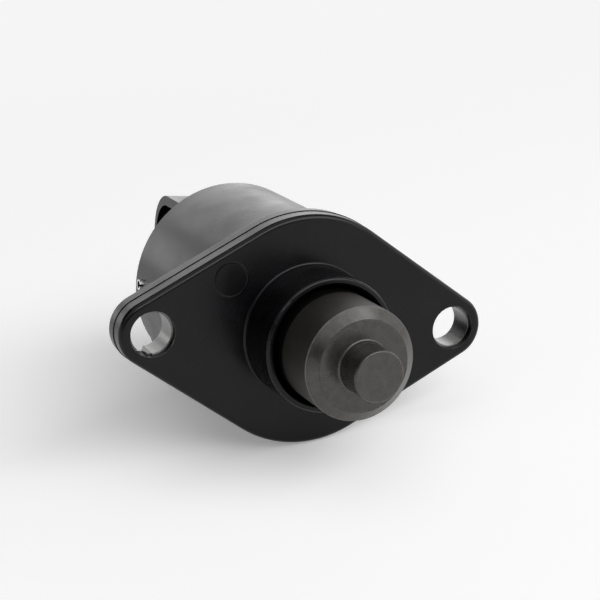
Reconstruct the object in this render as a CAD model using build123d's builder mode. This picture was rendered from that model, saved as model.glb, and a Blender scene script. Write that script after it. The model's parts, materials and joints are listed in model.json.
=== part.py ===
from build123d import *
from math import sin, cos, radians, pi
import os

# Idle air control valve: a two-hole flange valve with a stepper motor that screws a
# turned plunger in and out of its collar. Millimetres. The origin is the centre of the
# flange's mounting face. The plunger points along -Y, the ears lie along X, +Z is up.
# Axial places (names ending in _y) count from the mounting face towards the rear.

# Flange
hole_spacing = 50.0
ear_radius = 5.1
flange_radius = 18.0
flange_thickness = 5.2
flange_edge_radius = 0.8
flange_rear_edge_radius = 0.3
parting_ridge_y = 2.9
parting_ridge_height = 0.1
parting_ridge_width = 0.3
ejector_mark_x = -13.4
ejector_mark_z = 8.1
ejector_mark_radius = 2.65
ejector_mark_depth = 0.12

# Mounting sleeves, rolled from steel strip, moulded into the ears
sleeve_bore_radius = 3.15
sleeve_wall = 0.75
sleeve_slit = 2.4
sleeve_slit_angle = -106.0
sleeve_lip_radius = 3.5
sleeve_lip_depth = 0.8

# Collar round the plunger
collar_bore_radius = 9.2
collar_wall = 1.2
collar_length = 8.25
collar_root_radius = 0.4
collar_rim_radius = 0.5
collar_bore_chamfer = 0.4

# Motor shell behind the flange
shell_radius = 16.6
shell_wall = 1.7
partition_front_y = 6.6
partition_thickness = 1.8
guide_tube_wall = 0.8
guide_tube_front_y = 0.5

# Plunger, turned in one piece with its tip
plunger_gap = 0.65
plunger_shoulder_y = -17.5
plunger_chamfer_width = 1.6
plunger_chamfer_length = 1.35
plunger_wall = 1.95
plunger_front_wall = 4.85
plunger_stop_gap = 1.6
tip_radius = 3.8
tip_length = 5.05
tip_root_radius = 0.35
tip_edge_radius = 0.3

# Lead screw: flatted shank in front, thread behind
travel_out = 2.0
travel_in = 6.5
screw_radius = 2.0
screw_setback = 2.0
shank_step = 0.3
shank_flat_depth = 0.5
shank_margin = 0.3
screw_spigot_radius = 1.8
screw_spigot_length = 3.6

# Spring between the plunger and the partition
spring_wire = 0.8
spring_turns = 5.0
spring_facets = 8

# Fits
fit_gap = 0.02
running_gap = 0.03
end_gap = 0.05
screw_clearance = 0.2

# Guide bush
bush_wall = 1.5
bush_flange_width = 1.4
bush_flange_thickness = 0.4

# Front ball bearing
bearing_bore_radius = 3.6
bearing_depth = 3.2
bearing_width = 3.0
bearing_seat_gap = 0.1
race_thickness = 0.9
ball_radius = 1.0
ball_count = 8
ball_clearance = 0.06
cage_wall = 0.9
cage_end_gap = 0.1
bearing_rib_wall = 0.88
bearing_rib_length = 2.6

# Rotor: the magnet takes a third of the space between the hub and the shell
magnet_share = 1 / 3
hub_radius = 4.55
hub_flange_setback = 1.0
hub_flange_thickness = 0.4
rotor_rear_gap = 0.2
hub_shoulder = 0.3
hub_journal_radius = 3.0
hub_journal_length = 3.4

# Rear bush and the disc spring that keeps play out of the rotor
rear_bush_wall = 1.4
rear_bush_length = 2.9
washer_width = 1.9
washer_thickness = 0.3
washer_dish = 0.3

# Claw-pole stator, two stacks back to back
air_gap = 0.3
plate_thickness = 0.9
stack_length = 9.0
stack_gap = 0.05
stator_front_gap = 0.2
pole_count = 6
stack_turn = 0.25
tooth_root_width = 4.6
tooth_tip_width = 2.4
tooth_thickness = 0.8
tooth_tip_gap = 0.4
bobbin_clearance = 0.05
bobbin_wall = 0.6
winding_setback = 0.4

# Rear cover and its four-way socket
plug_gap = 0.35
seal_section = 0.8
seal_setback = 0.95
pin_setback = 2.7
pin_radius = 0.85
pin_wall = 0.25
pin_slit = 0.35
pin_standout = 0.55
pin_length = 4.55
screw_pocket_radius = 3.2
screw_pocket_margin = 0.7
screw_pocket_cover = 0.3
socket_mouth_x = -10.3
socket_floor_x = 1.0
block_side_wall = 0.9
block_depth = 10.35
block_height = 26.2
block_corner_radius = 5.0
socket_side_wall = 1.6
socket_front_wall = 1.2
socket_rear_wall = 0.95
socket_front_corner_radius = 1.0
latch_height = 1.3
latch_width = 6.0
latch_length = 3.2
latch_setback = 1.4

# Terminals
terminal_pitch = 5.0
terminal_count = 4
terminal_width = 1.5
terminal_thickness = 0.8
terminal_reach = 6.0
terminal_leg_x = 7.2
terminal_front_gap = 0.4
terminal_tip_chamfer = 0.25

# Sizes and places that follow from those above
sleeve_radius = sleeve_bore_radius + sleeve_wall
collar_radius = collar_bore_radius + collar_wall
partition_rear_y = partition_front_y + partition_thickness
chamber_radius = shell_radius - shell_wall
shank_radius = screw_radius + shank_step
shank_flat = shank_radius - shank_flat_depth
shank_rear_y = partition_rear_y + travel_out + shank_margin
bush_radius = shank_radius + bush_wall
bush_flange_radius = bush_radius + bush_flange_width
guide_tube_radius = bush_radius + guide_tube_wall
plunger_radius = collar_bore_radius - plunger_gap
plunger_face_radius = plunger_radius - plunger_chamfer_width
plunger_face_y = plunger_shoulder_y - plunger_chamfer_length
plunger_rear_y = partition_front_y - travel_in - plunger_stop_gap
plunger_cup_radius = plunger_radius - plunger_wall
plunger_cup_floor_y = plunger_face_y + plunger_front_wall
tip_end_y = plunger_face_y - tip_length
spring_radius = (guide_tube_radius + plunger_cup_radius) / 2
bearing_radius = bearing_bore_radius + bearing_depth
bearing_front_y = partition_rear_y + bearing_seat_gap
bearing_rear_y = bearing_front_y + bearing_width
ball_y = bearing_front_y + bearing_width / 2
ball_pitch_radius = (bearing_bore_radius + bearing_radius) / 2
magnet_radius = hub_radius + magnet_share * (chamber_radius - hub_radius)
stator_radius = magnet_radius + air_gap
stack_front_y = partition_rear_y + stator_front_gap
stack_middle_y = stack_front_y + stack_length
rear_stack_y = stack_middle_y + stack_gap
stack_rear_y = rear_stack_y + stack_length
tooth_length = stack_length - plate_thickness - tooth_tip_gap
plug_front_y = stack_rear_y + plug_gap
hub_flange_radius = magnet_radius - hub_flange_setback
hub_front_flange_y = bearing_rear_y + hub_shoulder
magnet_front_y = hub_front_flange_y + hub_flange_thickness
hub_rear_flange_y = plug_front_y - rotor_rear_gap
magnet_rear_y = hub_rear_flange_y - hub_flange_thickness
hub_bore_step_y = shank_rear_y + travel_in + 10 * end_gap
washer_radius = hub_journal_radius + washer_width
washer_front_y = hub_rear_flange_y + end_gap
washer_rear_y = washer_front_y + washer_dish + washer_thickness
rear_bush_radius = hub_journal_radius + rear_bush_wall
rear_bush_front_y = washer_rear_y + end_gap
rear_bush_rear_y = rear_bush_front_y + rear_bush_length
screw_rear_y = plug_front_y - screw_setback
screw_pocket_rear_y = screw_rear_y + travel_in + screw_pocket_margin
shell_length = screw_pocket_rear_y + screw_pocket_cover
seal_groove_y = plug_front_y + seal_setback
pin_y = plug_front_y + pin_setback
pin_inner_x = shell_radius + pin_standout - pin_length
block_front_y = shell_length
block_rear_y = block_front_y + block_depth
block_right_x = terminal_leg_x + terminal_thickness / 2 + block_side_wall
block_mid_y = (block_front_y + block_rear_y) / 2
socket_front_y = block_front_y + socket_front_wall
socket_rear_y = block_rear_y - socket_rear_wall
socket_mid_y = (socket_front_y + socket_rear_y) / 2
ear_places = [(-hole_spacing / 2, 0), (hole_spacing / 2, 0)]

os.makedirs("parts", exist_ok=True)


def half_section(*corners):
    """A closed outline of (radius, axial place) corners, ready to revolve about Y."""
    with BuildSketch(Plane.XY) as section:
        with BuildLine():
            Polyline(*corners, close=True)
        make_face()
    return section.sketch


def ring_section(inner, outer, front_y, rear_y):
    """The half section of a plain ring or, with no inner radius, of a disc."""
    return half_section((inner, front_y), (outer, front_y), (outer, rear_y), (inner, rear_y))


def flange_outline(grow=0.0):
    """The flange's outline: a hull round the centre disc and the two ears."""
    with BuildSketch(Plane.XZ) as outline:
        Circle(flange_radius + grow)
        with Locations(*ear_places):
            Circle(ear_radius + grow)
        make_hull()
    return outline.sketch


def save(piece, name):
    piece.part.label = name
    export_step(piece.part, f"parts/{name}.step")


# Housing: flange, collar, guide tube, partition and motor shell, moulded in one piece
with BuildPart() as housing:
    extrude(flange_outline(), amount=-flange_thickness)
    fillet(housing.faces().sort_by(Axis.Y)[0].edges(), flange_edge_radius)
    fillet(housing.faces().sort_by(Axis.Y)[-1].edges(), flange_rear_edge_radius)
    ridge = flange_outline(parting_ridge_height).moved(Location((0, parting_ridge_y, 0)))
    extrude(ridge, amount=-parting_ridge_width)
    revolve(ring_section(0, collar_radius, -collar_length, flange_thickness), axis=Axis.Y)
    rim = housing.faces().sort_by(Axis.Y)[0].edges()
    fillet(rim, collar_rim_radius)
    root = (
        housing.edges()
        .filter_by(GeomType.CIRCLE)
        .filter_by(lambda edge: abs(edge.radius - collar_radius) < fit_gap)
        .filter_by_position(Axis.Y, -fit_gap, fit_gap)
    )
    fillet(root, collar_root_radius)
    revolve(ring_section(0, shell_radius, flange_thickness, shell_length), axis=Axis.Y)
    # plunger bore, round the guide tube
    bore = half_section(
        (0, -2 * collar_length),
        (collar_bore_radius, -2 * collar_length),
        (collar_bore_radius, partition_front_y),
        (guide_tube_radius, partition_front_y),
        (guide_tube_radius, guide_tube_front_y),
        (0, guide_tube_front_y),
    )
    revolve(bore, axis=Axis.Y, mode=Mode.SUBTRACT)
    chamfer(housing.faces().sort_by(Axis.Y)[0].edges().sort_by(SortBy.RADIUS)[0], collar_bore_chamfer)
    # seat of the guide bush
    bush_seat = half_section(
        (0, guide_tube_front_y - 1),
        (bush_radius + fit_gap, guide_tube_front_y - 1),
        (bush_radius + fit_gap, partition_rear_y - bush_flange_thickness),
        (bush_flange_radius + fit_gap, partition_rear_y - bush_flange_thickness),
        (bush_flange_radius + fit_gap, partition_rear_y + end_gap),
        (0, partition_rear_y + end_gap),
    )
    revolve(bush_seat, axis=Axis.Y, mode=Mode.SUBTRACT)
    # motor chamber, round the rib that holds the front bearing
    rib_inner = bearing_radius + fit_gap
    rib_rear_y = partition_rear_y + bearing_rib_length
    chamber = half_section(
        (0, partition_rear_y),
        (rib_inner, partition_rear_y),
        (rib_inner, rib_rear_y),
        (rib_inner + bearing_rib_wall, rib_rear_y),
        (rib_inner + bearing_rib_wall, partition_rear_y),
        (chamber_radius, partition_rear_y),
        (chamber_radius, 2 * shell_length),
        (0, 2 * shell_length),
    )
    revolve(chamber, axis=Axis.Y, mode=Mode.SUBTRACT)
    # stepped holes for the sleeves, open at the mounting face through a narrower lip
    with BuildSketch(Plane.XZ.offset(-flange_thickness)):
        with Locations(*ear_places):
            Circle(sleeve_radius + fit_gap)
    extrude(amount=flange_thickness - sleeve_lip_depth, mode=Mode.SUBTRACT)
    with BuildSketch(Plane.XZ):
        with Locations(*ear_places):
            Circle(sleeve_lip_radius)
    extrude(amount=-flange_thickness, mode=Mode.SUBTRACT)
    # ejector mark on the mounting face
    with BuildSketch(Plane.XZ):
        with Locations((ejector_mark_x, ejector_mark_z)):
            Circle(ejector_mark_radius)
    extrude(amount=-ejector_mark_depth, mode=Mode.SUBTRACT)
    # holes for the two pins that hold the rear cover
    with BuildSketch(Plane.YZ):
        with Locations((pin_y, 0)):
            Circle(pin_radius + fit_gap)
    extrude(amount=2 * shell_radius, both=True, mode=Mode.SUBTRACT)
save(housing, "housing")

# Mounting sleeves, split where the rolled strip meets
for side, ear_x in (("left", ear_places[0][0]), ("right", ear_places[1][0])):
    with BuildPart() as sleeve:
        with BuildSketch(Plane.XZ.offset(-flange_thickness)):
            with Locations((ear_x, 0)):
                Circle(sleeve_radius)
                Circle(sleeve_bore_radius, mode=Mode.SUBTRACT)
            with Locations(
                (
                    ear_x + sleeve_radius * cos(radians(sleeve_slit_angle)),
                    sleeve_radius * sin(radians(sleeve_slit_angle)),
                )
            ):
                Rectangle(2 * sleeve_radius, sleeve_slit, rotation=sleeve_slit_angle, mode=Mode.SUBTRACT)
        extrude(amount=flange_thickness - sleeve_lip_depth)
    save(sleeve, f"sleeve_{side}")

# Plunger: hollow behind, chamfered in front, with a stub tip
with BuildPart() as plunger:
    plunger_profile = half_section(
        (0, tip_end_y),
        (tip_radius, tip_end_y),
        (tip_radius, plunger_face_y),
        (plunger_face_radius, plunger_face_y),
        (plunger_radius, plunger_shoulder_y),
        (plunger_radius, plunger_rear_y),
        (plunger_cup_radius, plunger_rear_y),
        (plunger_cup_radius, plunger_cup_floor_y),
        (screw_spigot_radius + fit_gap, plunger_cup_floor_y),
        (screw_spigot_radius + fit_gap, plunger_cup_floor_y - screw_spigot_length),
        (0, plunger_cup_floor_y - screw_spigot_length),
    )
    revolve(plunger_profile, axis=Axis.Y)
    fillet(plunger.faces().sort_by(Axis.Y)[0].edges(), tip_edge_radius)
    tip_root = (
        plunger.edges()
        .filter_by(GeomType.CIRCLE)
        .filter_by(lambda edge: abs(edge.radius - tip_radius) < fit_gap)
        .sort_by(Axis.Y)[-1]
    )
    fillet(tip_root, tip_root_radius)
save(plunger, "plunger")

# Lead screw: spigot pressed into the plunger, double-D shank, threaded rear
with BuildPart() as lead_screw:
    spigot = ring_section(
        0, screw_spigot_radius, plunger_cup_floor_y - screw_spigot_length + end_gap, plunger_cup_floor_y
    )
    revolve(spigot, axis=Axis.Y)
    with BuildSketch(Plane.XZ.offset(-plunger_cup_floor_y)):
        Circle(shank_radius)
        Rectangle(2 * shank_radius, 2 * shank_flat, mode=Mode.INTERSECT)
    extrude(amount=plunger_cup_floor_y - shank_rear_y)
    revolve(ring_section(0, screw_radius, shank_rear_y, screw_rear_y), axis=Axis.Y)
    chamfer(lead_screw.faces().sort_by(Axis.Y)[-1].edges(), spring_wire / 2)
save(lead_screw, "lead_screw")

# Spring that keeps play out of the thread
with BuildPart() as plunger_spring:
    spring_front_y = plunger_cup_floor_y + spring_wire / 2 + end_gap
    spring_rear_y = partition_front_y - spring_wire / 2 - end_gap
    spring_height = spring_rear_y - spring_front_y
    with BuildLine() as coil:
        Helix(
            pitch=spring_height / spring_turns,
            height=spring_height,
            radius=spring_radius,
            center=(0, spring_front_y, 0),
            direction=(0, 1, 0),
        )
    with BuildSketch(Plane(origin=coil.line @ 0, z_dir=coil.line % 0)):
        RegularPolygon(spring_wire / 2, spring_facets)
    sweep()
save(plunger_spring, "plunger_spring")

# Guide bush: its double-D hole stops the screw from turning
with BuildPart() as guide_bush:
    revolve(ring_section(0, bush_radius, guide_tube_front_y, partition_rear_y), axis=Axis.Y)
    bush_flange = ring_section(
        0, bush_flange_radius, partition_rear_y - bush_flange_thickness, partition_rear_y
    )
    revolve(bush_flange, axis=Axis.Y)
    with BuildSketch(Plane.XZ.offset(-guide_tube_front_y)):
        Circle(shank_radius + running_gap)
        Rectangle(
            3 * shank_radius, 2 * (shank_flat + running_gap), mode=Mode.INTERSECT
        )
    extrude(amount=-2 * partition_rear_y, mode=Mode.SUBTRACT)
save(guide_bush, "guide_bush")

# Front ball bearing
groove_radius = ball_radius + ball_clearance

with BuildPart() as race_groove:
    with BuildSketch(Plane.XY):
        with Locations((ball_pitch_radius, ball_y)):
            Circle(groove_radius)
    revolve(axis=Axis.Y)

with BuildPart() as front_bearing_inner_ring:
    inner_ring = ring_section(
        bearing_bore_radius, bearing_bore_radius + race_thickness, bearing_front_y, bearing_rear_y
    )
    revolve(inner_ring, axis=Axis.Y)
    add(race_groove.part, mode=Mode.SUBTRACT)
save(front_bearing_inner_ring, "front_bearing_inner_ring")

with BuildPart() as front_bearing_outer_ring:
    outer_ring = ring_section(
        bearing_radius - race_thickness, bearing_radius, bearing_front_y, bearing_rear_y
    )
    revolve(outer_ring, axis=Axis.Y)
    add(race_groove.part, mode=Mode.SUBTRACT)
save(front_bearing_outer_ring, "front_bearing_outer_ring")

ball_places = [
    Location(
        (
            ball_pitch_radius * cos(2 * pi * index / ball_count),
            ball_y,
            ball_pitch_radius * sin(2 * pi * index / ball_count),
        )
    )
    for index in range(ball_count)
]

with BuildPart() as front_bearing_balls:
    with Locations(*ball_places):
        Sphere(ball_radius)
save(front_bearing_balls, "front_bearing_balls")

with BuildPart() as front_bearing_cage:
    cage_ring = ring_section(
        ball_pitch_radius - cage_wall / 2,
        ball_pitch_radius + cage_wall / 2,
        bearing_front_y + cage_end_gap,
        bearing_rear_y - cage_end_gap,
    )
    revolve(cage_ring, axis=Axis.Y)
    for index in range(ball_count):
        # a round pocket drilled outwards for each ball
        with BuildSketch(Plane.YZ.rotated((0, -index * 360 / ball_count, 0)).offset(hub_radius / 2)):
            with Locations((ball_y, 0)):
                Circle(groove_radius)
        extrude(amount=hub_radius, mode=Mode.SUBTRACT)
save(front_bearing_cage, "front_bearing_cage")

# Rotor: ring magnet on a moulded hub that is also the nut
with BuildPart() as rotor_magnet:
    magnet = ring_section(hub_radius + fit_gap, magnet_radius, magnet_front_y, magnet_rear_y)
    revolve(magnet, axis=Axis.Y)
save(rotor_magnet, "rotor_magnet")

with BuildPart() as rotor_hub:
    front_journal_radius = bearing_bore_radius - fit_gap
    shank_bore_radius = shank_radius + screw_clearance
    nut_bore_radius = screw_radius + running_gap
    journal_end_y = hub_rear_flange_y + hub_journal_length
    hub_profile = half_section(
        (shank_bore_radius, bearing_front_y + screw_clearance),
        (front_journal_radius, bearing_front_y + screw_clearance),
        (front_journal_radius, bearing_rear_y),
        (bearing_bore_radius + race_thickness, bearing_rear_y),
        (bearing_bore_radius + race_thickness, hub_front_flange_y),
        (hub_flange_radius, hub_front_flange_y),
        (hub_flange_radius, magnet_front_y),
        (hub_radius, magnet_front_y),
        (hub_radius, magnet_rear_y),
        (hub_flange_radius, magnet_rear_y),
        (hub_flange_radius, hub_rear_flange_y),
        (hub_journal_radius, hub_rear_flange_y),
        (hub_journal_radius, journal_end_y),
        (nut_bore_radius, journal_end_y),
        (nut_bore_radius, hub_bore_step_y),
        (shank_bore_radius, hub_bore_step_y),
    )
    revolve(hub_profile, axis=Axis.Y)
save(rotor_hub, "rotor_hub")

# Disc spring and rear bush
with BuildPart() as disc_spring:
    washer_bore_radius = hub_journal_radius + screw_clearance
    washer_profile = half_section(
        (washer_bore_radius, washer_front_y),
        (washer_bore_radius, washer_front_y + washer_thickness),
        (washer_radius, washer_rear_y),
        (washer_radius, washer_rear_y - washer_thickness),
    )
    revolve(washer_profile, axis=Axis.Y)
save(disc_spring, "disc_spring")

with BuildPart() as rear_bush:
    rear_bush_section = ring_section(
        hub_journal_radius + running_gap, rear_bush_radius, rear_bush_front_y, rear_bush_rear_y
    )
    revolve(rear_bush_section, axis=Axis.Y)
save(rear_bush, "rear_bush")

# One claw tooth: a tapered tab bent from the plate along the air gap
with BuildPart() as claw_tooth:
    with BuildSketch(Plane.XY.offset(stator_radius / 2)):
        with BuildLine():
            Polyline(
                (-tooth_root_width / 2, 0),
                (tooth_root_width / 2, 0),
                (tooth_tip_width / 2, tooth_length),
                (-tooth_tip_width / 2, tooth_length),
                close=True,
            )
        make_face()
    extrude(amount=stator_radius)
    tooth_ring = ring_section(stator_radius, stator_radius + tooth_thickness, 0, tooth_length)
    revolve(tooth_ring, axis=Axis.Y, mode=Mode.INTERSECT)

with BuildPart() as claw_tooth_back:
    mirror(claw_tooth.part, about=Plane.XZ)

cup_radius = chamber_radius - fit_gap
cup_inner_radius = cup_radius - plate_thickness
bobbin_inner_radius = stator_radius + tooth_thickness + bobbin_clearance
bobbin_outer_radius = cup_inner_radius - bobbin_clearance


def claws(front_y, towards_rear, turn):
    """The teeth of one plate, rooted at front_y and turned by a share of the pitch."""
    tooth = claw_tooth.part if towards_rear else claw_tooth_back.part
    placed = tooth.moved(Location((0, front_y, 0)))
    return [placed.rotate(Axis.Y, (index + turn) * 360 / pole_count) for index in range(pole_count)]


def stack(name, cup_end_y, plate_end_y, turn):
    """The cup, pole plate, bobbin and winding of one stack, from its cup end to its plate end."""
    step = 1 if plate_end_y > cup_end_y else -1
    cup_face_y = cup_end_y + step * plate_thickness
    plate_face_y = plate_end_y - step * plate_thickness
    with BuildPart() as stator_cup:
        cup_profile = half_section(
            (stator_radius, cup_end_y),
            (cup_radius, cup_end_y),
            (cup_radius, plate_end_y),
            (cup_inner_radius, plate_end_y),
            (cup_inner_radius, cup_face_y),
            (stator_radius, cup_face_y),
        )
        revolve(cup_profile, axis=Axis.Y)
        add(claws(cup_end_y, step > 0, turn))
    save(stator_cup, f"{name}_stator_cup")
    with BuildPart() as pole_plate:
        plate = ring_section(stator_radius, cup_inner_radius - fit_gap, plate_face_y, plate_end_y)
        revolve(plate, axis=Axis.Y)
        add(claws(plate_end_y, step < 0, turn + 0.5))
    save(pole_plate, f"{name}_pole_plate")
    near_y = cup_face_y + step * bobbin_clearance
    far_y = plate_face_y - step * bobbin_clearance
    core_radius = bobbin_inner_radius + bobbin_wall
    with BuildPart() as bobbin:
        bobbin_profile = half_section(
            (bobbin_inner_radius, near_y),
            (bobbin_outer_radius, near_y),
            (bobbin_outer_radius, near_y + step * bobbin_wall),
            (core_radius, near_y + step * bobbin_wall),
            (core_radius, far_y - step * bobbin_wall),
            (bobbin_outer_radius, far_y - step * bobbin_wall),
            (bobbin_outer_radius, far_y),
            (bobbin_inner_radius, far_y),
        )
        revolve(bobbin_profile, axis=Axis.Y)
    save(bobbin, f"{name}_bobbin")
    with BuildPart() as winding:
        coil_section = ring_section(
            core_radius + fit_gap,
            bobbin_outer_radius - winding_setback,
            near_y + step * (bobbin_wall + fit_gap),
            far_y - step * (bobbin_wall + fit_gap),
        )
        revolve(coil_section, axis=Axis.Y)
    save(winding, f"{name}_winding")


stack("front", stack_front_y, stack_middle_y, 0)
stack("rear", stack_rear_y, rear_stack_y, stack_turn)

# Terminals: bent blades from the coils to the socket
terminal_zs = [
    (index - (terminal_count - 1) / 2) * terminal_pitch for index in range(terminal_count)
]
terminals = []
for index, terminal_z in enumerate(terminal_zs):
    with BuildPart() as terminal:
        with BuildSketch(Plane.XY.offset(terminal_z - terminal_width / 2)):
            with BuildLine():
                Polyline(
                    (socket_floor_x - terminal_reach, socket_mid_y - terminal_thickness / 2),
                    (terminal_leg_x - terminal_thickness / 2, socket_mid_y - terminal_thickness / 2),
                    (terminal_leg_x - terminal_thickness / 2, plug_front_y + terminal_front_gap),
                    (terminal_leg_x + terminal_thickness / 2, plug_front_y + terminal_front_gap),
                    (terminal_leg_x + terminal_thickness / 2, socket_mid_y + terminal_thickness / 2),
                    (socket_floor_x - terminal_reach, socket_mid_y + terminal_thickness / 2),
                    close=True,
                )
            make_face()
        extrude(amount=terminal_width)
        chamfer(terminal.faces().sort_by(Axis.X)[0].edges(), terminal_tip_chamfer)
    terminals.append(terminal.part)
    save(terminal, f"terminal_{index + 1}")

# Rear cover: plug, connector block, socket and latch ramp
with BuildPart() as rear_cover:
    revolve(ring_section(0, chamber_radius - fit_gap, plug_front_y, shell_length), axis=Axis.Y)
    with BuildSketch(Plane.YZ.offset(socket_mouth_x)) as block_end:
        with Locations((block_mid_y, 0)):
            Rectangle(block_rear_y - block_front_y, block_height)
        fillet(block_end.vertices().group_by(Axis.X)[-1], block_corner_radius)
    extrude(amount=block_right_x - socket_mouth_x)
    with BuildSketch(Plane.YZ.offset(socket_mouth_x)) as socket:
        with Locations((socket_mid_y, 0)):
            Rectangle(socket_rear_y - socket_front_y, block_height - 2 * socket_side_wall)
        fillet(socket.vertices().group_by(Axis.X)[-1], block_corner_radius - socket_rear_wall)
        fillet(socket.vertices().group_by(Axis.X)[0], socket_front_corner_radius)
    extrude(amount=socket_floor_x - socket_mouth_x, mode=Mode.SUBTRACT)
    # latch ramp on the back of the socket
    with BuildSketch(Plane.XY.offset(-latch_width / 2)):
        with BuildLine():
            Polyline(
                (socket_mouth_x + latch_setback, block_rear_y - socket_rear_wall / 2),
                (socket_mouth_x + latch_setback, block_rear_y),
                (socket_mouth_x + latch_setback + latch_length, block_rear_y + latch_height),
                (socket_mouth_x + latch_setback + latch_length, block_rear_y - socket_rear_wall / 2),
                close=True,
            )
        make_face()
    extrude(amount=latch_width)
    # seal groove, seats of the disc spring and the rear bush, pocket for the screw
    groove = ring_section(
        chamber_radius - seal_section,
        2 * chamber_radius,
        seal_groove_y - seal_section / 2,
        seal_groove_y + seal_section / 2,
    )
    revolve(groove, axis=Axis.Y, mode=Mode.SUBTRACT)
    cover_bore = half_section(
        (0, plug_front_y - 1),
        (washer_radius + screw_clearance, plug_front_y - 1),
        (washer_radius + screw_clearance, rear_bush_front_y),
        (rear_bush_radius + fit_gap, rear_bush_front_y),
        (rear_bush_radius + fit_gap, rear_bush_rear_y),
        (screw_pocket_radius, rear_bush_rear_y),
        (screw_pocket_radius, screw_pocket_rear_y),
        (0, screw_pocket_rear_y),
    )
    revolve(cover_bore, axis=Axis.Y, mode=Mode.SUBTRACT)
    # blind holes for the two cover pins
    for side in (-1, 1):
        with BuildSketch(Plane.YZ.offset(side * (pin_inner_x - end_gap))):
            with Locations((pin_y, 0)):
                Circle(pin_radius + fit_gap)
        extrude(amount=side * shell_radius, mode=Mode.SUBTRACT)
    add(terminals, mode=Mode.SUBTRACT)
save(rear_cover, "rear_cover")

# Square-cut seal of the rear cover
with BuildPart() as cover_seal:
    seal_ring = ring_section(
        chamber_radius - seal_section + fit_gap,
        chamber_radius - fit_gap,
        seal_groove_y - seal_section / 2 + fit_gap,
        seal_groove_y + seal_section / 2 - fit_gap,
    )
    revolve(seal_ring, axis=Axis.Y)
save(cover_seal, "cover_seal")

# Rolled pins through the shell into the rear cover, one each side
with BuildPart() as cover_pins:
    for side in (-1, 1):
        with BuildSketch(Plane.YZ.offset(side * pin_inner_x)):
            with Locations((pin_y, 0)):
                Circle(pin_radius)
                Circle(pin_radius - pin_wall, mode=Mode.SUBTRACT)
            with Locations((pin_y - pin_radius, 0)):
                Rectangle(pin_radius, pin_slit, mode=Mode.SUBTRACT)
        extrude(amount=side * pin_length)
save(cover_pins, "cover_pins")
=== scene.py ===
import bpy
import bmesh
import json
import math
import numpy as np
from mathutils import Matrix, Vector


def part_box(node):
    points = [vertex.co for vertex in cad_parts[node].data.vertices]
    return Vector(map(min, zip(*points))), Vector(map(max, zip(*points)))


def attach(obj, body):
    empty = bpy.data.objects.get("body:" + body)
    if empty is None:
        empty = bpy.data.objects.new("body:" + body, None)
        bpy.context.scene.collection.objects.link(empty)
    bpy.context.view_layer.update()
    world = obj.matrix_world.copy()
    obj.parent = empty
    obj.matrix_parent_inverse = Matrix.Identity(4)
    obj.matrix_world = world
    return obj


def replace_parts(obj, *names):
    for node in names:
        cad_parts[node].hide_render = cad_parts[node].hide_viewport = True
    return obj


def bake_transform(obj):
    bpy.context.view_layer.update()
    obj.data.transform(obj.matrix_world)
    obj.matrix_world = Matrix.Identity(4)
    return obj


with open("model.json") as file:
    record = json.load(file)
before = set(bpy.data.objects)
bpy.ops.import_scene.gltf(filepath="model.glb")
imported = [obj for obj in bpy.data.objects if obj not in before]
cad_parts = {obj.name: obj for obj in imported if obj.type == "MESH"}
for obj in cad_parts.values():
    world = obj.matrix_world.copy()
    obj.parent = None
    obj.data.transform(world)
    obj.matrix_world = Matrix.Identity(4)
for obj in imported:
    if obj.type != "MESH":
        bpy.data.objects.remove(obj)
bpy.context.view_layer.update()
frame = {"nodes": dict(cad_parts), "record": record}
nodes = frame["nodes"]
scene = bpy.context.scene
scene.view_settings.view_transform = "Standard"

# Camera
shot = {
    "place": (-0.106284, -0.218860, 0.063146),
    "target": (-0.002000, 0.0, 0.004898),
    "rollDeg": 5.523,      # the right-hand side lifted
    "lens": 99.44,
    "sensor": 36.0,
    "nearClip": 0.01,
    "farClip": 20.0,
}


def makeCamera():
    data = bpy.data.cameras.new("camera")
    data.lens = shot["lens"]
    data.sensor_width = shot["sensor"]
    data.clip_start = shot["nearClip"]
    data.clip_end = shot["farClip"]
    camera = bpy.data.objects.new("camera", data)
    scene.collection.objects.link(camera)
    place = Vector(shot["place"])
    turn = (Vector(shot["target"]) - place).to_track_quat("-Z", "Y").to_matrix().to_4x4()
    roll = Matrix.Rotation(math.radians(shot["rollDeg"]), 4, "Z")
    camera.matrix_world = Matrix.Translation(place) @ turn @ roll
    scene.camera = camera


makeCamera()
print("camera: set")


# Small helpers for shader trees
def addNode(tree, kind, **settings):
    node = tree.nodes.new(kind)
    for name, value in settings.items():
        setattr(node, name, value)
    return node


def feed(tree, node, inputs):
    # inputs gives, for a socket's name or number, a value to set or an output socket to link
    for name, value in inputs.items():
        if isinstance(value, bpy.types.NodeSocket):
            tree.links.new(value, node.inputs[name])
        else:
            node.inputs[name].default_value = value
    return node


def mathNode(tree, operation, first, second=0.0):
    return feed(tree, addNode(tree, "ShaderNodeMath", operation=operation), {0: first, 1: second}).outputs[0]


def splitAxes(tree, place):
    return feed(tree, addNode(tree, "ShaderNodeSeparateXYZ"), {"Vector": place}).outputs


def lengthOf(tree, vector):
    return feed(tree, addNode(tree, "ShaderNodeVectorMath", operation="LENGTH"), {0: vector}).outputs["Value"]


def flatLength(tree, first, second):
    # length of a line in a plane, from its two parts
    line = feed(tree, addNode(tree, "ShaderNodeCombineXYZ"), {"X": first, "Y": second})
    return lengthOf(tree, line.outputs[0])


def carryOver(tree, value, span, result, curve="SMOOTHSTEP"):
    # as value goes from one end of span to the other, the output goes from one end of result to the other,
    # and it stays at the end that is nearer outside the span
    node = addNode(tree, "ShaderNodeMapRange", interpolation_type=curve)
    return feed(tree, node, {0: value, 1: span[0], 2: span[1], 3: result[0], 4: result[1]}).outputs[0]


def noise(tree, place, scale, detail):
    node = addNode(tree, "ShaderNodeTexNoise")
    return feed(tree, node, {"Vector": place, "Scale": scale, "Detail": detail}).outputs[0]


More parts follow.
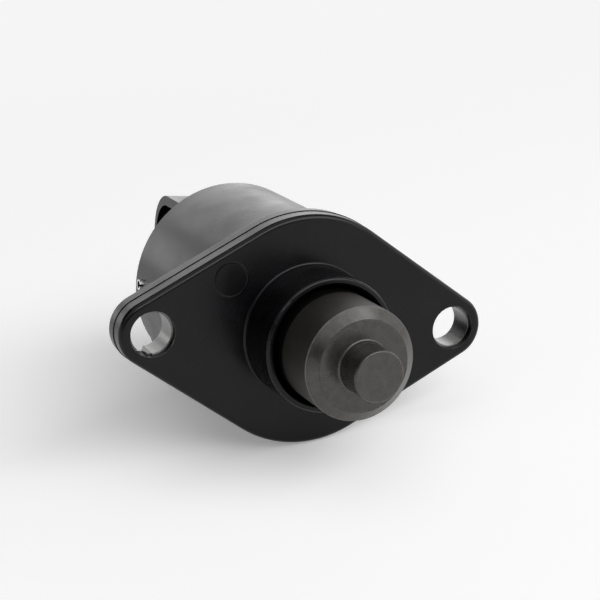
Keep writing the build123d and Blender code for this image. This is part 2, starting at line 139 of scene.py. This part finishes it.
def lineNoise(tree, along, scale, detail):
    node = addNode(tree, "ShaderNodeTexNoise", noise_dimensions="1D")
    return feed(tree, node, {"W": along, "Scale": scale, "Detail": detail}).outputs[0]


def twoTones(tree, factor, span, dark, light):
    # dark below the first of span, light above the second, blended between them
    ramp = addNode(tree, "ShaderNodeValToRGB")
    for element, position, colour in zip(ramp.color_ramp.elements, span, (dark, light)):
        element.position = position
        element.color = (*colour, 1)
    tree.links.new(factor, ramp.inputs[0])
    return ramp.outputs[0]


def newGroup(name, inputs, outputs):
    # an input is its label, its kind and its starting value, and an output is its label and its kind
    group = bpy.data.node_groups.new(name, "ShaderNodeTree")
    for label, kind, value in inputs:
        socket = group.interface.new_socket(name=label, in_out="INPUT", socket_type=kind)
        if value is not None:
            socket.default_value = value
    for label, kind in outputs:
        group.interface.new_socket(name=label, in_out="OUTPUT", socket_type=kind)
    return group, group.nodes.new("NodeGroupInput").outputs, group.nodes.new("NodeGroupOutput").inputs


def useGroup(tree, group, inputs):
    node = addNode(tree, "ShaderNodeGroup")
    node.node_tree = group
    return feed(tree, node, inputs).outputs


# Shared effects
clouds = {
    "scale": 160.0,
    "detail": 4.0,
    "grainDetail": 3.0,
    "span": (0.3, 0.7),        # most of the noise lies between these two
}


def makeMouldGrain():
    # fine grain of a mould or a plated surface, with broad cloudy patches that change its gloss
    group, given, result = newGroup(
        "mouldGrain",
        [
            ("Vector", "NodeSocketVector", None),
            ("Grain Size", "NodeSocketFloat", 0.00025),
            ("Smooth", "NodeSocketFloat", 0.3),
            ("Rough", "NodeSocketFloat", 0.4),
        ],
        [("Roughness", "NodeSocketFloat"), ("Height", "NodeSocketFloat"), ("Patches", "NodeSocketFloat")],
    )
    fineness = mathNode(group, "DIVIDE", 1.0, given["Grain Size"])
    grain = noise(group, given["Vector"], fineness, clouds["grainDetail"])
    cloud = noise(group, given["Vector"], clouds["scale"], clouds["detail"])
    rough = carryOver(group, cloud, clouds["span"], (given["Smooth"], given["Rough"]), "LINEAR")
    group.links.new(rough, result["Roughness"])
    group.links.new(grain, result["Height"])
    group.links.new(cloud, result["Patches"])
    return group


smears = {
    "fineDetail": 3.0,
    "broadRings": 0.09,        # how many broad rings there are for one fine ring
    "broadDetail": 2.0,
    "ringShare": 0.2,
    "patchScale": 900.0,
    "patchDetail": 4.0,
    "patchShare": 0.8,
    "span": (0.35, 0.65),
}


def makeToolMarks():
    # lathe rings round the Y axis, from noise along the profile alone, and small patches of tone and gloss
    group, given, result = newGroup(
        "toolMarks",
        [
            ("Vector", "NodeSocketVector", None),
            ("Pitch", "NodeSocketFloat", 0.00012),
            ("Smooth", "NodeSocketFloat", 0.3),
            ("Rough", "NodeSocketFloat", 0.42),
        ],
        [("Roughness", "NodeSocketFloat"), ("Height", "NodeSocketFloat"), ("Tone", "NodeSocketFloat")],
    )
    x, y, z = splitAxes(group, given["Vector"])
    along = mathNode(group, "DIVIDE", mathNode(group, "ADD", flatLength(group, x, z), y), given["Pitch"])
    fine = lineNoise(group, along, 1.0, smears["fineDetail"])
    broad = lineNoise(group, along, smears["broadRings"], smears["broadDetail"])
    patches = noise(group, given["Vector"], smears["patchScale"], smears["patchDetail"])
    tone = mathNode(
        group, "ADD",
        mathNode(group, "MULTIPLY", broad, smears["ringShare"]),
        mathNode(group, "MULTIPLY", patches, smears["patchShare"]),
    )
    rough = carryOver(group, tone, smears["span"], (given["Smooth"], given["Rough"]), "LINEAR")
    group.links.new(rough, result["Roughness"])
    group.links.new(fine, result["Height"])
    group.links.new(tone, result["Tone"])
    return group


mouldGrain = makeMouldGrain()
toolMarks = makeToolMarks()
print("shared effects:", len(bpy.data.node_groups))


def newMaterial(name, shader):
    # shader gives the shader's own values, the same all over the surface
    material = bpy.data.materials.new(name)
    material.use_nodes = True
    tree = material.node_tree
    surface = feed(tree, tree.nodes["Principled BSDF"], shader)
    place = addNode(tree, "ShaderNodeTexCoord").outputs["Object"]
    return material, tree, surface, place


def bump(tree, surface, height, depth):
    # depth is the real height of the relief in metres
    node = feed(tree, addNode(tree, "ShaderNodeBump"), {"Height": height, "Distance": depth})
    tree.links.new(node.outputs[0], surface.inputs["Normal"])
    return node


# Black glass-filled moulding
moulding = {
    "dark": (0.0008, 0.0008, 0.0010),
    "light": (0.0040, 0.0042, 0.0054),
    "specular": 0.25,
    "smooth": 0.2,
    "rough": 0.32,
    "grainSize": 0.0004,
    "grainDepth": 0.0000004,
    "markX": -0.0134,        # witness ring of the ejector pin on the flange's front face
    "markZ": 0.0081,
    "markBack": 0.001,
    "markRadius": 0.00262,
    "markWidth": 0.00016,
    "markDepth": 0.00004,
}


def makeMoulding():
    material, tree, surface, place = newMaterial(
        "blackMoulding", {"Specular IOR Level": moulding["specular"]},
    )
    grain = useGroup(tree, mouldGrain, {
        "Vector": place,
        "Grain Size": moulding["grainSize"],
        "Smooth": moulding["smooth"],
        "Rough": moulding["rough"],
    })
    tone = twoTones(tree, grain["Patches"], clouds["span"], moulding["dark"], moulding["light"])
    tree.links.new(tone, surface.inputs["Base Color"])
    tree.links.new(grain["Roughness"], surface.inputs["Roughness"])
    # the distance from the ring's line becomes a smooth ridge, only in front of markBack
    x, y, z = splitAxes(tree, place)
    reach = flatLength(
        tree,
        mathNode(tree, "SUBTRACT", x, moulding["markX"]),
        mathNode(tree, "SUBTRACT", z, moulding["markZ"]),
    )
    offset = mathNode(tree, "ABSOLUTE", mathNode(tree, "SUBTRACT", reach, moulding["markRadius"]))
    ridge = carryOver(tree, offset, (0.0, moulding["markWidth"]), (1.0, 0.0))
    ridge = mathNode(tree, "MULTIPLY", ridge, mathNode(tree, "LESS_THAN", y, moulding["markBack"]))
    grained = bump(tree, surface, grain["Height"], moulding["grainDepth"])
    ringed = bump(tree, surface, ridge, moulding["markDepth"])
    tree.links.new(grained.outputs[0], ringed.inputs["Normal"])
    return material


# Turned metal of the plunger
turning = {
    "dark": (0.069, 0.0663, 0.0625),
    "light": (0.087, 0.0833, 0.0785),
    "metallic": 0.77,
    "smooth": 0.26,
    "rough": 0.295,
    "pitch": 0.00013,
    "depth": 0.00000015,
    "anisotropy": 0.5,
    "sideSpan": (0.0083, 0.0085),          # past these radii lies the side, duller than the faces
    "sideRougher": 0.16,
    "boreShadeSpan": (-0.0097, -0.0094),      # behind these places along Y the metal is painted dark: painted shade where the plunger runs into the collar's bore
    "boreShadeTone": 0.12,
    "highlightBehindTip": 0.0064,               # painted highlight: a bright line painted on the shoulder between chamfer and side
    "highlightReach": 0.00016,
    "highlightTone": 2.2,
}


def makeTurning():
    material, tree, surface, place = newMaterial(
        "turnedMetal", {"Metallic": turning["metallic"], "Anisotropic": turning["anisotropy"]},
    )
    marks = useGroup(tree, toolMarks, {
        "Vector": place,
        "Pitch": turning["pitch"],
        "Smooth": turning["smooth"],
        "Rough": turning["rough"],
    })
    x, y, z = splitAxes(tree, place)
    radius = flatLength(tree, x, z)
    low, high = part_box("plunger")
    offEdge = flatLength(
        tree,
        mathNode(tree, "SUBTRACT", radius, high[0]),
        mathNode(tree, "SUBTRACT", y, low[1] + turning["highlightBehindTip"]),
    )
    # painted shade: the base colour is darkened where the plunger runs into the collar's bore
    boreShade = carryOver(tree, y, turning["boreShadeSpan"], (1.0, turning["boreShadeTone"]))
    # painted highlight: the base colour is brightened along the shoulder's edge
    paintedHighlight = carryOver(tree, offEdge, (0.0, turning["highlightReach"]), (turning["highlightTone"], 1.0))
    tone = twoTones(tree, marks["Tone"], smears["span"], turning["dark"], turning["light"])
    tone = feed(tree, addNode(tree, "ShaderNodeVectorMath", operation="SCALE"), {
        0: tone,
        "Scale": mathNode(tree, "MULTIPLY", boreShade, paintedHighlight),
    })
    tree.links.new(tone.outputs[0], surface.inputs["Base Color"])
    duller = carryOver(tree, radius, turning["sideSpan"], (0.0, turning["sideRougher"]))
    tree.links.new(mathNode(tree, "ADD", marks["Roughness"], duller), surface.inputs["Roughness"])
    bump(tree, surface, marks["Height"], turning["depth"])
    latheWay = addNode(tree, "ShaderNodeTangent", direction_type="UV_MAP", uv_map="UVMap")
    tree.links.new(latheWay.outputs[0], surface.inputs["Tangent"])
    return material


# Plain metals and plastics
plainGrain = {
    "size": 0.0002,
    "depth": 0.000001,
}


def makeMetal(name, dark, light, smooth, rough, metallic=1.0):
    # plated, ground or drawn metal with cloudy tone and gloss
    material, tree, surface, place = newMaterial(name, {"Metallic": metallic})
    grain = useGroup(tree, mouldGrain, {
        "Vector": place,
        "Grain Size": plainGrain["size"],
        "Smooth": smooth,
        "Rough": rough,
    })
    tone = twoTones(tree, grain["Patches"], clouds["span"], dark, light)
    tree.links.new(tone, surface.inputs["Base Color"])
    tree.links.new(grain["Roughness"], surface.inputs["Roughness"])
    bump(tree, surface, grain["Height"], plainGrain["depth"])
    return material


def makePlastic(name, dark, light, smooth, rough):
    return makeMetal(name, dark, light, smooth, rough, metallic=0.0)


finishes = {
    "moulding": makeMoulding(),
    "plunger": makeTurning(),
    "zinc": makeMetal("zincPlate", (0.12, 0.118, 0.117), (0.17, 0.168, 0.166), 0.22, 0.32),
    "steel": makeMetal("groundSteel", (0.42, 0.42, 0.42), (0.56, 0.56, 0.56), 0.2, 0.32),
    "balls": makeMetal("polishedBalls", (0.62, 0.62, 0.62), (0.72, 0.72, 0.72), 0.04, 0.08),
    "brass": makeMetal("brass", (0.62, 0.42, 0.18), (0.72, 0.52, 0.27), 0.25, 0.4),
    "tinned": makeMetal("tinnedBlade", (0.55, 0.54, 0.51), (0.70, 0.69, 0.66), 0.22, 0.35),
    "magnet": makeMetal(
        "groundFerrite", (0.045, 0.045, 0.048), (0.085, 0.085, 0.09), 0.4, 0.55, metallic=0.3,
    ),
    "copper": makeMetal("enamelledWire", (0.50, 0.19, 0.08), (0.66, 0.30, 0.15), 0.2, 0.3),
    "light_plastic": makePlastic("naturalPlastic", (0.62, 0.60, 0.53), (0.72, 0.70, 0.63), 0.35, 0.5),
    "seal": makePlastic("sealRubber", (0.012, 0.012, 0.012), (0.02, 0.02, 0.02), 0.5, 0.65),
}
brightPin = makeMetal("brightPin", (0.75, 0.75, 0.74), (0.85, 0.85, 0.84), 0.2, 0.3)
slotOf = {part["node"]: part["material_slot"] for part in frame["record"]["subparts"]}
for name, node in nodes.items():
    node.data.materials.clear()
    node.data.materials.append(brightPin if name == "cover_pins" else finishes[slotOf[name]])
print("finishes:", len(finishes))


# Surfaces worked out on a grid
def closePoles(mesh):
    # points that fell together at a pole become one, and the faces point outwards
    samePlace = 1e-7
    noLength = 1e-8
    work = bmesh.new()
    work.from_mesh(mesh)
    bmesh.ops.remove_doubles(work, verts=work.verts, dist=samePlace)
    bmesh.ops.dissolve_degenerate(work, edges=work.edges, dist=noLength)
    bmesh.ops.recalc_face_normals(work, faces=work.faces)
    work.to_mesh(mesh)
    work.free()


def gridObject(name, points, slotName, body, wrapU=False, wrapV=False):
    # points[i, j] is the surface at parameters u and v. Quads join neighbours, and a wrapped way closes
    # on itself
    rows, columns = points.shape[:2]
    index = np.arange(rows * columns).reshape(rows, columns)
    if wrapU:
        index = np.vstack([index, index[:1]])
    if wrapV:
        index = np.hstack([index, index[:, :1]])
    corners = [index[:-1, :-1], index[1:, :-1], index[1:, 1:], index[:-1, 1:]]
    faces = np.stack(corners, axis=-1).reshape(-1, 4)
    mesh = bpy.data.meshes.new(name)
    mesh.from_pydata(points.reshape(-1, 3), [], faces)
    mesh.update()
    us = (np.arange(rows * columns) // columns) / (rows - 1 + wrapU)
    vs = (np.arange(rows * columns) % columns) / (columns - 1 + wrapV)
    loops = np.zeros(len(mesh.loops), np.int32)
    mesh.loops.foreach_get("vertex_index", loops)
    uv = np.stack([us[loops], vs[loops]], axis=-1)
    # where a face crosses the seam, its corners on the first row or column get the end of the map
    seamU = np.repeat(np.ptp(faces // columns, axis=1) > 1, 4)
    seamV = np.repeat(np.ptp(faces % columns, axis=1) > 1, 4)
    uv[:, 0] = np.where(seamU & (uv[:, 0] == 0), 1.0, uv[:, 0])
    uv[:, 1] = np.where(seamV & (uv[:, 1] == 0), 1.0, uv[:, 1])
    mesh.uv_layers.new(name="UVMap").data.foreach_set("uv", uv.astype(np.float32).ravel())
    closePoles(mesh)
    mesh.shade_smooth()
    mesh.materials.append(finishes[slotName])
    piece = bpy.data.objects.new(name, mesh)
    scene.collection.objects.link(piece)
    if body:
        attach(piece, body)
    return piece


def aroundY(radius, y, angle):
    # the point at a radius from the Y axis, a place along it and an angle: (r cos a, y, r sin a)
    radius, y, angle = np.broadcast_arrays(radius, y, angle)
    return np.stack([radius * np.cos(angle), y, radius * np.sin(angle)], axis=-1)


def fullTurn(steps):
    return np.linspace(0, 2 * math.pi, steps, endpoint=False)


def roundedProfile(corners, closed, arcSteps=8):
    # corners are (radius, y, rounding). Each corner is replaced by a circular arc tangent to its two sides,
    # which starts the length rounding * tan(turn / 2) before the corner
    corners = np.array(corners, float)
    line = []
    count = len(corners)
    for i, (radius, y, rounding) in enumerate(corners):
        here = np.array([radius, y])
        if rounding <= 0 or (not closed and i in (0, count - 1)):
            line.append(here)
            continue
        back = corners[i - 1, :2] - here
        on = corners[(i + 1) % count, :2] - here
        back /= np.linalg.norm(back)
        on /= np.linalg.norm(on)
        half = math.acos(np.clip(back @ on, -1, 1)) / 2
        centre = here + (back + on) / np.linalg.norm(back + on) * rounding / math.sin(half)
        reach = rounding / math.tan(half)
        start = np.arctan2(*(here + back * reach - centre)[::-1])
        end = np.arctan2(*(here + on * reach - centre)[::-1])
        sweep = (end - start + math.pi) % (2 * math.pi) - math.pi
        angles = start + sweep * np.linspace(0, 1, arcSteps)
        line.extend(centre + rounding * np.stack([np.cos(angles), np.sin(angles)], axis=-1))
    return np.array(line)


def holdEdges(line, closed, reach=0.00006):
    # a point close to each end of every long side, so that smooth shading stays flat along it
    held = []
    count = len(line)
    for i in range(count if closed else count - 1):
        here, there = line[i], line[(i + 1) % count]
        held.append(here)
        length = np.linalg.norm(there - here)
        if length > 3 * reach:
            step = (there - here) * reach / length
            held.extend([here + step, there - step])
    if not closed:
        held.append(line[-1])
    return np.array(held)


# Plunger, turned from bar, hollow behind
plungerCut = {
    "tipRadius": 0.0038,
    "tipLength": 0.00505,
    "tipEdge": 0.0003,
    "tipRoot": 0.00035,
    "chamferWidth": 0.0016,
    "chamferLength": 0.00135,
    "faceEdge": 0.00004,
    "shoulderEdge": 0.0001,
    "lineWidth": 0.00014,      # fine line cut where the face meets the chamfer
    "lineDepth": 0.00007,
    "wall": 0.00195,
    "frontWall": 0.00485,
    "rearEdge": 0.0003,
    "cupCorner": 0.0006,
    "spigotBore": 0.00182,
    "spigotLength": 0.0036,
    "around": 256,
}


def makePlunger():
    # a profile (radius, y, rounding) turned about Y: from the middle of the tip out over face, chamfer and
    # side, back into the cup, and to the bottom of the screw's hole
    cut = plungerCut
    low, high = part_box("plunger")
    radius, frontY, rearY = high[0], low[1], high[1]
    faceY = frontY + cut["tipLength"]
    faceRadius = radius - cut["chamferWidth"]
    cupFloorY = faceY + cut["frontWall"]
    line = holdEdges(roundedProfile([
        (0, frontY, 0),
        (cut["tipRadius"], frontY, cut["tipEdge"]),
        (cut["tipRadius"], faceY, cut["tipRoot"]),
        (faceRadius - cut["lineWidth"], faceY, 0),
        (faceRadius - cut["lineWidth"] / 2, faceY + cut["lineDepth"], 0),
        (faceRadius, faceY, cut["faceEdge"]),
        (radius, faceY + cut["chamferLength"], cut["shoulderEdge"]),
        (radius, rearY, cut["rearEdge"]),
        (radius - cut["wall"], rearY, cut["rearEdge"]),
        (radius - cut["wall"], cupFloorY, cut["cupCorner"]),
        (cut["spigotBore"], cupFloorY, 0),
        (cut["spigotBore"], cupFloorY - cut["spigotLength"], 0),
        (0, cupFloorY - cut["spigotLength"], 0),
    ], closed=False), closed=False)
    points = aroundY(line[:, 0], line[:, 1], fullTurn(cut["around"])[:, None])
    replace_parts(gridObject("turnedPlunger", points, "plunger", "plunger", wrapU=True), "plunger")


# Lead screw: spigot, double-D shank and a right-hand thread
leadScrew = {
    "spigotRadius": 0.0018,
    "spigotLength": 0.00355,
    "shankLength": 0.0247,
    "shankFlat": 0.0005,       # how deep each flat is cut
    "threadRadius": 0.002,
    "threadDepth": 0.0003,
    "threadSlope": 1.25,       # the crests are flat, and above 1 the roots are too
    "pitch": 0.001,
    "stepsPerPitch": 10,
    "endChamfer": 0.0004,
    "around": 72,
    "stepApart": 1e-6,         # how far apart the two points of a sharp step stand
}


def makeScrew():
    # radius as a function of the angle and the place along Y: the spigot is round, the shank is a circle cut
    # by two flats, and the thread's radius falls in a clipped triangle wave of y / pitch - angle / turn
    cut = leadScrew
    low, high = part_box("lead_screw")
    shankRadius, frontY, endY = high[0], low[1], high[1]
    shankFrontY = frontY + cut["spigotLength"]
    shankRearY = shankFrontY + cut["shankLength"]
    apart = cut["stepApart"]
    angle = fullTurn(cut["around"])[:, None]
    ys = np.concatenate([
        [frontY, frontY],
        [shankFrontY - apart, shankFrontY, shankFrontY + apart],
        [shankRearY - apart, shankRearY],
        np.arange(shankRearY, endY, cut["pitch"] / cut["stepsPerPitch"])[1:],
        [endY, endY],
    ])[None, :]
    sine = np.maximum(np.abs(np.sin(angle)), 1e-6)     # never quite zero
    shank = np.minimum(shankRadius, (shankRadius - cut["shankFlat"]) / sine)
    phase = (ys / cut["pitch"] - angle / (2 * math.pi)) % 1
    fade = np.clip(np.minimum(ys - shankRearY, endY - ys) / cut["pitch"], 0, 1)
    wave = np.clip(cut["threadSlope"] - np.abs(4 * phase - 2) * cut["threadSlope"], 0, 1)
    groove = cut["threadDepth"] * fade * wave
    endRadius = cut["threadRadius"] - cut["endChamfer"]
    thread = np.minimum(cut["threadRadius"] - groove, endRadius + (endY - ys))
    radius = np.where(ys < shankFrontY, cut["spigotRadius"], np.where(ys <= shankRearY, shank, thread))
    radius[:, [0, -1]] = 0
    radius[:, -2] = endRadius
    screw = gridObject("threadedScrew", aroundY(radius, ys, angle), "steel", "plunger", wrapU=True)
    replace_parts(screw, "lead_screw")


# Spring behind the plunger, with dead coils at its ends
springWire = {
    "wire": 0.0008,
    "turns": 6.0,
    "deadTurns": 0.9,
    "deadRise": 0.18,      # the rise of a dead turn against that of a working one
    "stepsPerTurn": 48,
    "girthSteps": 14,
}


def makeSpring():
    # a circle of half the wire carried along a helix whose rise eases off over the first and last turn
    cut = springWire
    low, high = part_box("plunger_spring")
    radius = high[0] - cut["wire"] / 2
    frontY, rearY = low[1] + cut["wire"] / 2, high[1] - cut["wire"] / 2
    turn = np.linspace(0, cut["turns"], int(cut["turns"] * cut["stepsPerTurn"]) + 1)
    ease = np.clip(np.minimum(turn, cut["turns"] - turn) / cut["deadTurns"], 0, 1)
    rise = np.cumsum(cut["deadRise"] + (1 - cut["deadRise"]) * ease * ease * (3 - 2 * ease))
    rise = (rise - rise[0]) / (rise[-1] - rise[0])
    angle = 2 * math.pi * turn
    centre = aroundY(radius, frontY + (rearY - frontY) * rise, angle)
    outward = aroundY(1.0, 0.0, angle)
    along = np.gradient(centre, axis=0)
    along /= np.linalg.norm(along, axis=1, keepdims=True)
    side = np.cross(along, outward)
    girth = fullTurn(cut["girthSteps"])[None, :, None]
    ring = cut["wire"] / 2 * (np.cos(girth) * outward[:, None] + np.sin(girth) * side[:, None])
    ends = np.repeat(centre[[0, -1], None], cut["girthSteps"], axis=1)
    points = np.concatenate([ends[:1], centre[:, None] + ring, ends[1:]])
    spring = gridObject("springWire", points, "steel", None, wrapV=True)
    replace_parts(spring, "plunger_spring")
    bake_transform(spring)


# Mounting sleeves, rolled from strip
sleeveStrip = {
    "wall": 0.00075,
    "edge": 0.00012,
    "edgeSteps": 5,
    "slit": 0.0024,
    "slitAngleDeg": {"sleeve_left": -106.0, "sleeve_right": 170.0},
    "steps": 120,
    "endShare": 0.01,      # how far from each end the even steps begin, as a share of the length
}


def makeSleeve(node):
    # the strip's rounded section (radius, y) carried round the hole from one side of the slit to the other.
    # Each point starts asin(half slit / its radius) past the slit's middle, so the slit's sides are parallel
    cut = sleeveStrip
    low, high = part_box(node)
    outer = (high[0] - low[0]) / 2
    inner = outer - cut["wall"]
    middleX = (low[0] + high[0]) / 2
    section = holdEdges(roundedProfile([
        (inner, low[1], cut["edge"]),
        (outer, low[1], cut["edge"]),
        (outer, high[1], cut["edge"]),
        (inner, high[1], cut["edge"]),
    ], True, cut["edgeSteps"]), True)
    middle = section.mean(axis=0)
    # both ends of the strip: a pole, an eased edge, then the full section
    endSize = np.array([0.0, 1 - cut["edge"] / cut["wall"], 1.0])
    endPlace = np.array([0, 0, cut["edge"] / (2 * math.pi * outer)])
    length = np.linspace(cut["endShare"], 1 - cut["endShare"], cut["steps"])
    size = np.concatenate([endSize, np.ones(cut["steps"]), endSize[::-1]])
    share = np.concatenate([endPlace, length, 1 - endPlace[::-1]])
    ring = middle + (section[None] - middle) * size[:, None, None]
    half = np.arcsin(cut["slit"] / 2 / ring[..., 0])
    angle = math.radians(cut["slitAngleDeg"][node]) + half + share[:, None] * (2 * math.pi - 2 * half)
    points = aroundY(ring[..., 0], ring[..., 1], angle) + np.array([middleX, 0, 0])
    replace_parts(gridObject("rolled_" + node, points, "zinc", "body", wrapV=True), node)


# Windings: enamelled wire laid turn beside turn
windingWire = {
    "wire": 0.00022,
    "depth": 0.00376,
    "around": 128,
    "stepsPerTurn": 6,
}


def makeWinding(node):
    # a closed profile turned about Y, whose outer side is a row of half circles, one for each turn of the
    # top layer
    cut = windingWire
    low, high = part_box(node)
    outer, frontY, rearY = high[0], low[1], high[1]
    turns = round((rearY - frontY) / cut["wire"])
    ys = np.linspace(frontY, rearY, turns * cut["stepsPerTurn"] + 1)
    offset = ((ys - frontY) / (rearY - frontY) * turns) % 1 - 0.5
    bulge = np.sqrt(np.clip(0.25 - offset**2, 0, 1)) * cut["wire"]
    outside = np.stack([outer - cut["wire"] / 2 + bulge, ys], axis=-1)
    line = np.concatenate([[[outer - cut["depth"], frontY]], outside, [[outer - cut["depth"], rearY]]])
    points = aroundY(line[:, 0], line[:, 1], fullTurn(cut["around"])[:, None])
    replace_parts(gridObject("wound_" + node, points, "copper", "body", wrapU=True, wrapV=True), node)


makePlunger()
makeScrew()
makeSpring()
print("moving pieces: plunger, screw and spring")
for name in ("sleeve_left", "sleeve_right"):
    makeSleeve(name)
for name in ("front_winding", "rear_winding"):
    makeWinding(name)
print("fixed pieces: sleeves and windings")

# Floor and light. The valve lies on the flange's edge and the shell's rear rim
stand = {
    "rollDeg": 10.0,       # the right-hand ear nearer the floor
    "flangeRadius": 0.0181,
    "flangeY": 0.00305,
    "shellRadius": 0.0166,
    "shellY": 0.0325,
}
tilt = math.atan((stand["flangeRadius"] - stand["shellRadius"]) / (stand["shellY"] - stand["flangeY"]))
roll = math.radians(stand["rollDeg"])
floorUp = Vector((-math.sin(roll) * math.cos(tilt), -math.sin(tilt), math.cos(roll) * math.cos(tilt)))
footPoint = Vector((
    math.sin(roll) * stand["flangeRadius"], stand["flangeY"], -math.cos(roll) * stand["flangeRadius"],
))
floorBack = Vector(shot["target"]) - Vector(shot["place"])
floorBack = (floorBack - floorUp * floorUp.dot(floorBack)).normalized()
floorTurn = Matrix((floorBack.cross(floorUp), floorBack, floorUp)).transposed().to_4x4()
floorPlace = Matrix.Translation(floorUp * floorUp.dot(footPoint)) @ floorTurn

floorLook = {
    "size": 12.0,
    "colour": 0.94,
    "fill": 0.25,              # what the camera sees of the floor in the deepest shadow
    "white": 0.913,            # the plain background, near white
    "plainSpan": (0.1, 0.3),   # the distances between which the floor turns into it
    "roomLight": 0.62,         # what the room itself adds to the light on the valve
}


def seenAsBackground(tree):
    # 1 for the rays that show the background: from the camera, in a reflection or through something clear
    path = addNode(tree, "ShaderNodeLightPath")
    seen = mathNode(tree, "ADD", path.outputs["Is Camera Ray"], path.outputs["Is Glossy Ray"])
    seen = mathNode(tree, "ADD", seen, path.outputs["Is Transmission Ray"])
    return mathNode(tree, "MINIMUM", seen, 1.0)


def makeFloor():
    half = floorLook["size"] / 2
    corners = [(-half, -half, 0), (half, -half, 0), (half, half, 0), (-half, half, 0)]
    mesh = bpy.data.meshes.new("floor")
    mesh.from_pydata(corners, [], [(0, 1, 2, 3)])
    mesh.transform(floorPlace)
    floor = bpy.data.objects.new("floor", mesh)
    scene.collection.objects.link(floor)
    material, tree, surface, place = newMaterial("paperFloor", {
        "Roughness": 1.0,
        "Specular IOR Level": 0.0,
        "Base Color": (*[floorLook["colour"]] * 3, 1),
        "Emission Color": (1, 1, 1, 1),
    })
    seen = seenAsBackground(tree)
    tree.links.new(mathNode(tree, "MULTIPLY", seen, floorLook["fill"]), surface.inputs["Emission Strength"])
    plain = carryOver(tree, lengthOf(tree, place), floorLook["plainSpan"], (0.0, 1.0))
    white = feed(tree, addNode(tree, "ShaderNodeEmission"), {"Strength": floorLook["white"]})
    blend = feed(tree, addNode(tree, "ShaderNodeMixShader"), {
        0: mathNode(tree, "MULTIPLY", plain, seen),
        1: surface.outputs[0],
        2: white.outputs[0],
    })
    tree.links.new(blend.outputs[0], tree.nodes["Material Output"].inputs["Surface"])
    mesh.materials.append(material)


def towards(azimuthDeg, heightDeg, distance):
    # a place in the floor's own frame: azimuth 0 lies behind the valve, 90 to the right, 180 at the camera
    azimuth, height = math.radians(azimuthDeg), math.radians(heightDeg)
    return Vector((
        math.sin(azimuth) * math.cos(height), math.cos(azimuth) * math.cos(height), math.sin(height),
    )) * distance


def lookAlong(place, way):
    # the local -Z axis along the way, the local X axis level with the floor
    back = -way.normalized()
    across = floorUp.cross(back).normalized()
    return Matrix.Translation(place) @ Matrix((across, back.cross(across), back)).transposed().to_4x4()


# Lamps: azimuth and height in degrees, width and length of the panel, and its brightness
lamps = {
    "distance": 2.0,
    "aimHeight": 0.02,
    "softBox": (132, 42, 2.2, 1.1, 3.1),
    "backPanel": (-5, 14, 6.0, 0.95, 1.0),
    "sidePanel": (95, 16, 1.8, 1.2, 0.5),
}


def makeLamp(name):
    azimuthDeg, heightDeg, width, length, brightness = lamps[name]
    data = bpy.data.lights.new(name, "AREA")
    data.shape = "RECTANGLE"
    data.size, data.size_y = width, length
    data.energy = brightness * width * length * math.pi     # brightness 1 is a white surface in full light
    lamp = bpy.data.objects.new(name, data)
    scene.collection.objects.link(lamp)
    place = floorPlace @ towards(azimuthDeg, heightDeg, lamps["distance"])
    aim = floorPlace @ Vector((0, 0, lamps["aimHeight"]))
    lamp.matrix_world = lookAlong(place, aim - place)
    lamp.visible_diffuse = name != "backPanel"     # that one only shows in reflections


# Dark cloths that keep the white room from the valve's dark sides: the first and last azimuth and the
# lowest and highest place in degrees, and the colour
cloths = {
    "distance": 2.6,
    "columns": 13,
    "rows": 7,
    "left": (235, 325, 14, 62, 0.03),
    "back": (325, 425, 33, 62, 0.1),
    "front": (135, 225, 3, 28, 0.03),
}


def makeCloth(name):
    first, last, bottom, top, grey = cloths[name]
    columns, rows = cloths["columns"], cloths["rows"]
    points = [
        floorPlace @ towards(azimuth, height, cloths["distance"])
        for height in np.linspace(bottom, top, rows) for azimuth in np.linspace(first, last, columns)
    ]
    faces = [
        (i * columns + j, i * columns + j + 1, (i + 1) * columns + j + 1, (i + 1) * columns + j)
        for i in range(rows - 1) for j in range(columns - 1)
    ]
    mesh = bpy.data.meshes.new(name + "Cloth")
    mesh.from_pydata(points, [], faces)
    dull = {"Roughness": 1.0, "Specular IOR Level": 0.0, "Base Color": (grey, grey, grey, 1)}
    mesh.materials.append(newMaterial(name + "Cloth", dull)[0])
    cloth = bpy.data.objects.new(name + "Cloth", mesh)
    scene.collection.objects.link(cloth)
    cloth.visible_camera = False


def makeRoom():
    world = bpy.data.worlds.new("whiteRoom")
    scene.world = world
    world.use_nodes = True
    tree = world.node_tree
    levels = (floorLook["roomLight"], floorLook["white"])
    glow = carryOver(tree, seenAsBackground(tree), (0.0, 1.0), levels, "LINEAR")
    feed(tree, tree.nodes["Background"], {"Color": (1, 1, 1, 1), "Strength": glow})


makeFloor()
makeRoom()
for name in ("left", "back", "front"):
    makeCloth(name)
for name in ("softBox", "backPanel", "sidePanel"):
    makeLamp(name)
print("stage: floor, room, cloths and lamps")
